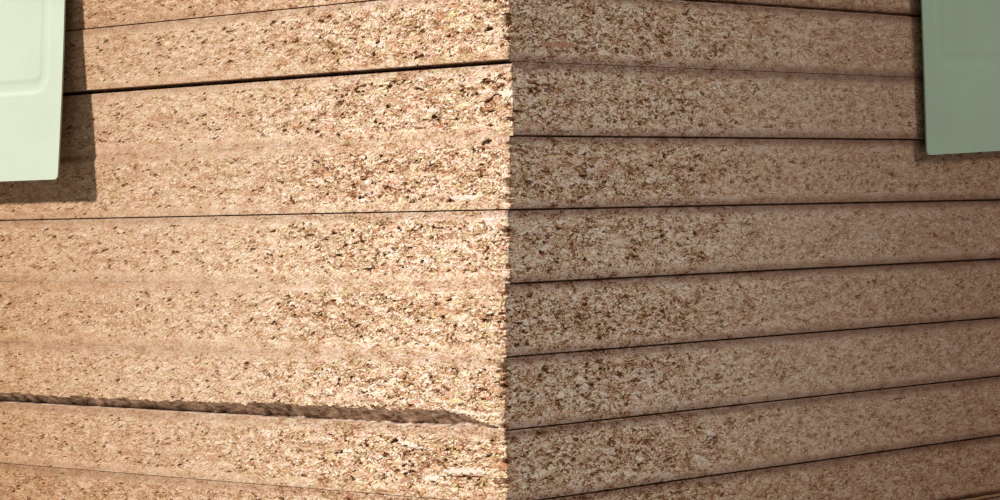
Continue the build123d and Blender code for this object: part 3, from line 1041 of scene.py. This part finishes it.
def card_mesh(name, bend, lean, place, across_way, out_way, seed):
    """A bent card, its near foot at the place before it is bent."""
    columns = net_lines(CARD_WIDTH, FRAME_SIDE, CARD_WIDTH - FRAME_SIDE, 4 * MM)
    rows = net_lines(CARD_HEIGHT, FRAME_FOOT, CARD_HEIGHT - FRAME_TOP, 3 * MM)
    across, up = np.meshgrid(columns, rows)
    # Rounded corners: the outer net lines are drawn in
    near_x = np.minimum(across, CARD_WIDTH - across)
    near_y = np.minimum(up, CARD_HEIGHT - up)
    reach_x, reach_y = np.maximum(CARD_CORNER - near_x, 0), np.maximum(CARD_CORNER - near_y, 0)
    far = np.hypot(reach_x, reach_y)
    most = np.maximum(np.maximum(reach_x, reach_y), 1e-9)
    pull = np.where((reach_x > 0) & (reach_y > 0), most / np.maximum(far, 1e-9), 1.0)
    to_x, to_y = np.where(across < CARD_WIDTH / 2, -1, 1), np.where(up < CARD_HEIGHT / 2, -1, 1)
    across = across + to_x * reach_x * (pull - 1)
    up = up + to_y * reach_y * (pull - 1)
    # The free part has slight waves, more so towards its foot
    phases = np.random.default_rng(seed).uniform(0, math.tau, 3)
    waves = np.sin(across * 41 + phases[0]) + 0.6 * np.sin(across * 19 + up * 33 + phases[1])
    free = np.clip((CARD_HEIGHT - CARD_FIXED - up) / CARD_HEIGHT, 0, 1)
    lift = -np.abs(WAVE_HEIGHT * waves) * free
    steps, out, down, angle = bend
    from_top = CARD_HEIGHT - up
    out_at, down_at = np.interp(from_top, steps, out), np.interp(from_top, steps, down)
    slope = np.interp(from_top, steps, angle)

    def layer(raised):
        """Points of the card's back or front, this far out along its own normal."""
        x = across
        z = CARD_HEIGHT - down_at + raised * np.sin(slope)
        y = out_at + raised * np.cos(slope)
        turned_x = x * math.cos(lean) - z * math.sin(lean)
        turned_z = x * math.sin(lean) + z * math.cos(lean)
        base = np.array(place)
        return (base + turned_x[..., None] * np.array(across_way) + y[..., None] * np.array(out_way)
                + turned_z[..., None] * np.array((0, 0, 1)))

    back = layer(lift).reshape(-1, 3)
    front = layer(lift + CARD_THICK - frame_press(across, up)).reshape(-1, 3)
    wide, tall = len(columns), len(rows)
    count = wide * tall
    faces = []
    for row in range(tall - 1):
        for k in range(wide - 1):
            start = row * wide + k
            quad = (start, start + 1, start + wide + 1, start + wide)
            faces.append(tuple(count + v for v in quad))
            faces.append(quad[::-1])
    # Once round the rim: along the foot, up the far side, back along the top and down
    rim = [*range(wide), *(row * wide + wide - 1 for row in range(1, tall))]
    rim += [(tall - 1) * wide + k for k in range(wide - 2, -1, -1)]
    rim += [row * wide for row in range(tall - 2, 0, -1)]
    for first, second in zip(rim, rim[1:] + rim[:1]):
        faces.append((first, second, count + second, count + first))
    mesh = bpy.data.meshes.new(name)
    mesh.from_pydata(np.vstack([back, front]).tolist(), [], faces)
    if np.dot(np.cross(across_way, (0, 0, 1)), out_way) < 0:
        mesh.flip_normals()
    mesh.polygons.foreach_set("use_smooth", np.ones(len(faces), dtype=bool))
    mesh.set_sharp_from_angle(angle=math.radians(40))
    return mesh


# %% Finish of the cards
def card_material(name, colour):
    """Pale green card: a faint mottle, fine fibres and a soft sheen."""
    material, tree, shader = new_material(name)
    place = add(tree, "ShaderNodeTexCoord").outputs["Object"]
    fibre = noise(tree, place, 2400.0, 2.0)
    tone = noise(tree, place, 38.0, 4.0) * 0.75 + fibre * 0.25
    shades = ((0.33, 0.94), (0.67, 1.06))
    stops = [(at, tuple(part * shade for part in colour)) for at, shade in shades]
    feed(tree, shader.inputs["Base Color"], ramp(tree, tone, stops))
    shader.inputs["Roughness"].default_value = 0.5
    shader.inputs["Specular IOR Level"].default_value = 0.35
    bump = add(tree, "ShaderNodeBump", {"Height": fibre, "Strength": 0.12, "Distance": 0.05 * MM})
    feed(tree, shader.inputs["Normal"], bump.outputs["Normal"])
    return material


# The card on the sunny side is painted paler and the one in the shade darker: lit and shaded copies
# of one card
CARD_FINISHES = {
    "card_long_side": card_material("pale_card_painted_light", (0.463, 0.518, 0.387)),
    "card_short_side": card_material("pale_card", (0.372, 0.487, 0.330)),
}

# %% Hang the cards
# Each card's bends, its lean, its near foot at the sheets, the ways along it and out from it
TOP = 576 * MM
_, long_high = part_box("card_long_side")
short_low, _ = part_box("card_short_side")
CARDS = {
    "card_long_side": dict(
        bend=bend_of_card([1360 * MM], []),
        lean=0.0,
        place=(long_high.x, long_high.y, TOP - 186.9 * MM),
        across_way=(-1, 0, 0),
        out_way=(0, -1, 0),
        seed=3,
    ),
    "card_short_side": dict(
        bend=bend_of_card([441 * MM, -441 * MM, -4000 * MM], [41.5 * MM, 41.5 * MM]),
        lean=math.radians(2.0),
        place=(short_low.x, NEAR_Y + 174.8 * MM, TOP - 184.8 * MM),
        across_way=(0, 1, 0),
        out_way=(1, 0, 0),
        seed=4,
    ),
}
for node, how in CARDS.items():
    piece = new_piece(node.replace("card_", "pack_card_"), card_mesh(node, **how))
    piece.data.materials.append(CARD_FINISHES[node])
    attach(piece, "root")
    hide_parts(node)
    places = np.array([v.co for v in piece.data.vertices])
    for what, ends in ((piece.name, (places.min(0), places.max(0))), ("its solid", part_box(node))):
        print(what, [[round(float(v) / MM, 2) for v in end] for end in ends])

# %% [markdown]
# ## Staples
#
# Two staples hold each card along its top. A staple is one wire with two bends, so it is a
# curve with a round section, and its legs end inside the sheet behind the card.

# %% Wire finish
def wire_material():
    """Zinc-coated wire, dulled in patches."""
    material, tree, shader = new_material("staple_wire")
    place = add(tree, "ShaderNodeTexCoord").outputs["Object"]
    patch = noise(tree, place, 900.0, 3.0)
    zinc = ramp(tree, patch, [(0.35, (0.42, 0.41, 0.39)), (0.65, (0.66, 0.66, 0.65))])
    feed(tree, shader.inputs["Base Color"], zinc)
    feed(tree, shader.inputs["Roughness"], remap(tree, patch, 0.3, 0.7, 0.28, 0.5))
    shader.inputs["Metallic"].default_value = 1.0
    return material


wire_finish = wire_material()
print("finishes", sorted(material.name for material in bpy.data.materials))

# %% One staple
STAPLE_CROWN, STAPLE_LEG, STAPLE_WIRE = 11 * MM, 6 * MM, 0.7 * MM
# How high a staple is above the floor, and where it is along the card, as shares of its width
STAPLE_HEIGHT = 531 * MM
STAPLE_SHARES = (0.14, 0.86)


def staple(name, middle, across_way, out_way):
    """A driven staple, its crown on the card's front."""
    across, out = Vector(across_way), Vector(out_way)
    proud = out * (STAPLE_WIRE / 2)
    path = []
    for side, way in ((-1, 1), (1, -1)):
        foot = middle + across * (side * STAPLE_CROWN / 2) - out * STAPLE_LEG
        shoulder = middle + across * (side * STAPLE_CROWN / 2) - out * 0.3 * MM
        turn = middle + across * (side * (STAPLE_CROWN / 2 - 0.25 * MM)) + proud * 0.6
        crown = middle + across * (side * (STAPLE_CROWN / 2 - 0.9 * MM)) + proud
        path += [foot, shoulder, turn, crown][::way]
    curve = bpy.data.curves.new(name, "CURVE")
    curve.dimensions = "3D"
    curve.bevel_depth = STAPLE_WIRE / 2
    curve.bevel_resolution = 3
    curve.use_fill_caps = True
    spline = curve.splines.new("POLY")
    spline.points.add(len(path) - 1)
    for point, place in zip(spline.points, path):
        point.co = (*place, 1)
    mesh = plain_mesh(new_piece(name, curve))
    mesh.materials.clear()
    mesh.materials.append(wire_finish)
    mesh.polygons.foreach_set("use_smooth", np.ones(len(mesh.polygons), dtype=bool))
    piece = new_piece(name, mesh)
    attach(piece, "root")

# %% Drive the staples
for node, how in CARDS.items():
    out_way, across_way = Vector(how["out_way"]), Vector(how["across_way"])
    for number, share in enumerate(STAPLE_SHARES, 1):
        middle = Vector(how["place"]) + across_way * (share * CARD_WIDTH) + out_way * CARD_THICK
        middle.z = STAPLE_HEIGHT
        staple(f"staple_{node[5:]}_{number}", middle, across_way, out_way)
        print("staple by", [round(v / MM, 1) for v in middle])

# %% [markdown]
# ## Floor, world and lamps
#
# The stack stands on a plain pale floor under a pale sky. One lamp comes slantwise over the
# long side and draws each chip's shadow, and a weak one lights the short side. The floor and
# the sky look paler than the light that comes back from them: a pale background is wanted,
# but not the wash of light that it would throw on the stack.

# %% The floor
FLOOR_SEEN = (0.64, 0.632, 0.615, 1)
FLOOR_BOUNCE = (0.24, 0.235, 0.23, 1)
FLOOR_HALF = 150.0


def seen_directly(tree):
    """1 where the eye or a reflection meets the background, 0 where it only lights things."""
    path = add(tree, "ShaderNodeLightPath").outputs
    return calc(tree, "MAXIMUM", path["Is Camera Ray"], path["Is Glossy Ray"])


def stage():
    """A wide flat floor."""
    mesh = bpy.data.meshes.new("floor")
    corners = [(x * FLOOR_HALF, y * FLOOR_HALF, 0) for x, y in ((-1, -1), (1, -1), (1, 1), (-1, 1))]
    mesh.from_pydata(corners, [], [(0, 1, 2, 3)])
    floor = new_piece("floor", mesh)
    material, tree, shader = new_material("pale_floor")
    colour = mix_colour(tree, seen_directly(tree), FLOOR_BOUNCE, FLOOR_SEEN)
    feed(tree, shader.inputs["Base Color"], colour)
    shader.inputs["Roughness"].default_value = 0.9
    mesh.materials.append(material)


stage()
print("floor, metres across", 2 * FLOOR_HALF)

# %% The sky and the lamps
SKY_SEEN, SKY_LIGHT = (0.97, 0.98, 1.0, 1), (1.0, 0.97, 0.81, 1)
SKY_SEEN_STRENGTH, SKY_LIGHT_STRENGTH = 0.85, 0.100


def sky():
    """The world's colour and strength, to the eye and as light."""
    world = bpy.data.worlds.new("world")
    bpy.context.scene.world = world
    world.use_nodes = True
    tree = world.node_tree
    tree.nodes.clear()
    seen = seen_directly(tree)
    strength = choose(tree, seen, SKY_LIGHT_STRENGTH, SKY_SEEN_STRENGTH)
    colour = mix_colour(tree, seen, SKY_LIGHT, SKY_SEEN)
    background = add(tree, "ShaderNodeBackground", {"Color": colour, "Strength": strength})
    add(tree, "ShaderNodeOutputWorld", {"Surface": background.outputs[0]})


def sun_lamp(name, comes_from, energy, width_degrees, colour):
    """A lamp that is far away, so all its light comes one way."""
    data = bpy.data.lights.new(name, "SUN")
    data.energy = energy
    data.angle = math.radians(width_degrees)
    data.color = colour
    lamp = new_piece(name, data)
    lamp.rotation_euler = (-Vector(comes_from)).to_track_quat("-Z", "Y").to_euler()


sky()
sun_lamp("key", (-1.2, -1.0, 0.9), 6.15, 3.0, (1.0, 0.98, 0.96))
sun_lamp("fill", (1.0, 0.55, 0.75), 1.08, 18.0, (0.99, 0.955, 1.0))
bpy.context.scene.view_settings.view_transform = "Standard"
print("lamps", [light.name for light in bpy.data.lights])
